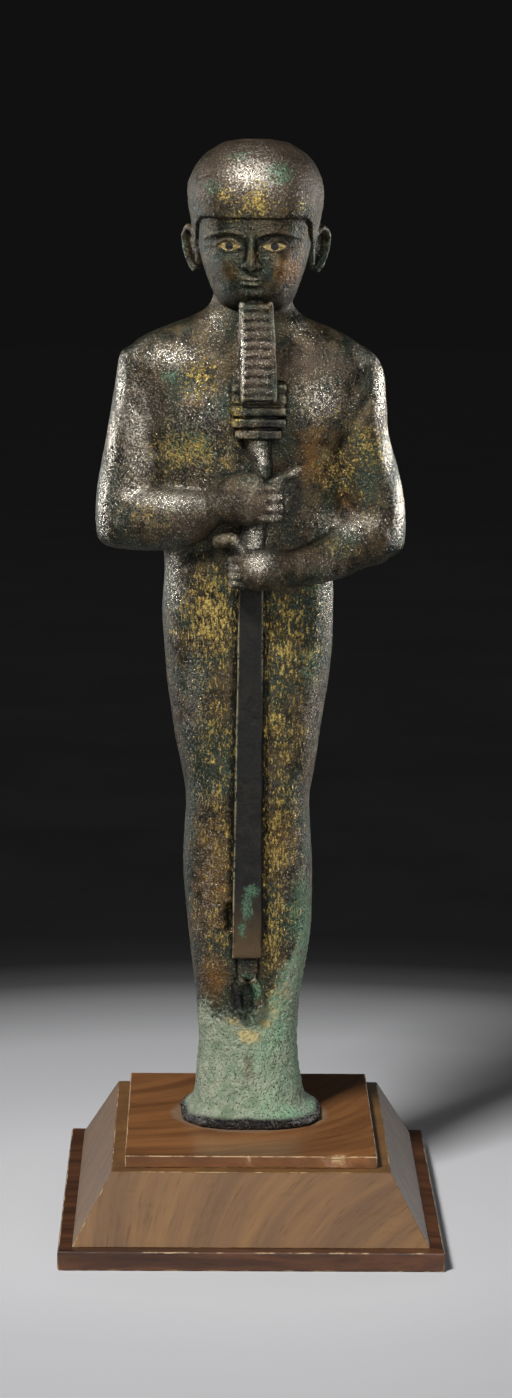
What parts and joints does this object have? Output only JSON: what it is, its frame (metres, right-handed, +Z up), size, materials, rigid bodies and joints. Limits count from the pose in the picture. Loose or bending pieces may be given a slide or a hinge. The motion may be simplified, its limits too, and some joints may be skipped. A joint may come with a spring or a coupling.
{
  "type": "egyptian god statuette",
  "caption": "Cast bronze statuette of a standing shrouded god in a skullcap, gripping a long forked sceptre, on a stepped walnut plinth.",
  "frame": {"origin": "middle of the plinth's underside", "axes": "+Z up along the figure, which faces -Y"},
  "size_m": [0.1028, 0.1234, 0.2957],
  "materials": {
    "bronze": "dark brown patina, worn gilding, green corrosion at the foot",
    "walnut": "satin varnish"
  },
  "bodies": {
    "root": {"figure": "bronze", "plinth_plate": "walnut", "plinth_block": "walnut", "plinth_slab": "walnut"}
  },
  "joints": []
}
